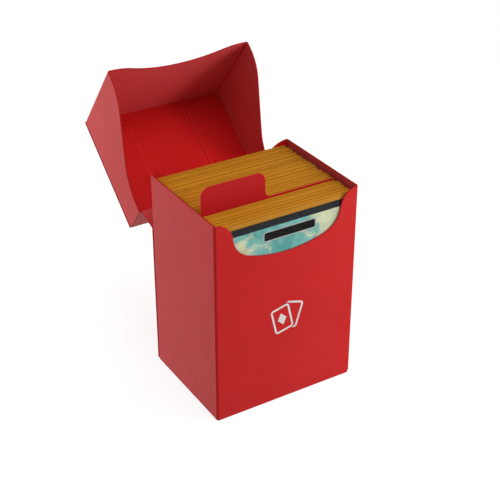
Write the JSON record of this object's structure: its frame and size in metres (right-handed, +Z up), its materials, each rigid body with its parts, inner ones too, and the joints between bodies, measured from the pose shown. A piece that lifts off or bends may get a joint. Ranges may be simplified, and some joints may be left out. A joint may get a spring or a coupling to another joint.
{
  "type": "card deck box",
  "caption": "Upright hinged-lid box folded from plastic sheet, with a front finger scoop, holding sleeved playing cards and a tabbed divider.",
  "frame": {"origin": "centre of the underside of the box, on the surface it stands on", "axes": "+Z up, +X to the right seen from the front, the front with the finger scoop faces -Y"},
  "size_m": [0.0714, 0.1203, 0.1318],
  "materials": {
    "plastic_sheet": "satin red polypropylene sheet, finely textured",
    "crease": "pressed thin, slightly glossy",
    "weld": "smooth pressed weld dimple",
    "print_white": "screen-printed ink",
    "divider_sheet": "satin red polypropylene sheet",
    "sleeved_cards": "card edges in golden-orange sleeves",
    "sleeve_film": "satin golden-orange film",
    "printed_card": "coated printed card",
    "clear_film": "clear film"
  },
  "bodies": {
    "box": {"front_panel": "plastic_sheet", "left_side_panel": "plastic_sheet", "right_side_panel": "plastic_sheet", "left_rear_flap": "plastic_sheet", "right_rear_flap": "plastic_sheet", "back_panel": "plastic_sheet", "bottom_panel": "plastic_sheet", "left_bottom_flap": "plastic_sheet", "right_bottom_flap": "plastic_sheet", "corner_folds": "plastic_sheet", "bottom_folds": "plastic_sheet", "bottom_flap_folds": "plastic_sheet", "back_weld_spots": "weld", "bottom_weld_spots": "weld", "front_emblem": "print_white", "lower_crease": "crease"},
    "hinge_link": {"hinge_link_panel": "plastic_sheet", "upper_crease": "crease"},
    "lid": {"lid_back_strip": "plastic_sheet", "lid_roof_panel": "plastic_sheet", "lid_front_panel": "plastic_sheet", "lid_left_panel": "plastic_sheet", "lid_right_panel": "plastic_sheet", "lid_left_flap": "plastic_sheet", "lid_right_flap": "plastic_sheet", "lid_corner_folds": "plastic_sheet", "lid_roof_folds": "plastic_sheet", "lid_flap_folds": "plastic_sheet", "lid_weld_spots": "weld"},
    "divider": {"card_divider": "divider_sheet"},
    "rear_deck": {"rear_sleeved_cards": "sleeved_cards"},
    "front_deck": {"front_sleeved_cards": "sleeved_cards", "face_sleeve_back": "sleeve_film", "face_card": "printed_card", "face_sleeve_window": "clear_film"}
  },
  "joints": [
    {"name": "lower_crease_fold", "type": "hinge", "parent": "box", "child": "hinge_link", "pos_m": [0, 0.02765, 0.0702], "axis": [-1, 0, 0], "range_deg": [-72.6, 17.4]},
    {"name": "upper_crease_fold", "type": "hinge", "parent": "hinge_link", "child": "lid", "pos_m": [0, 0.03815, 0.07349], "axis": [-1, 0, 0], "range_deg": [-67.6, 52.4]},
    {"name": "divider_lift", "type": "slide", "parent": "box", "child": "divider", "axis": [0, 0, 1], "range_m": [-0.0106, 0.1]},
    {"name": "rear_deck_lift", "type": "slide", "parent": "box", "child": "rear_deck", "axis": [0, 0, 1], "range_m": [0, 0.1]},
    {"name": "front_deck_lift", "type": "slide", "parent": "box", "child": "front_deck", "axis": [0, 0, 1], "range_m": [0, 0.1]}
  ]
}
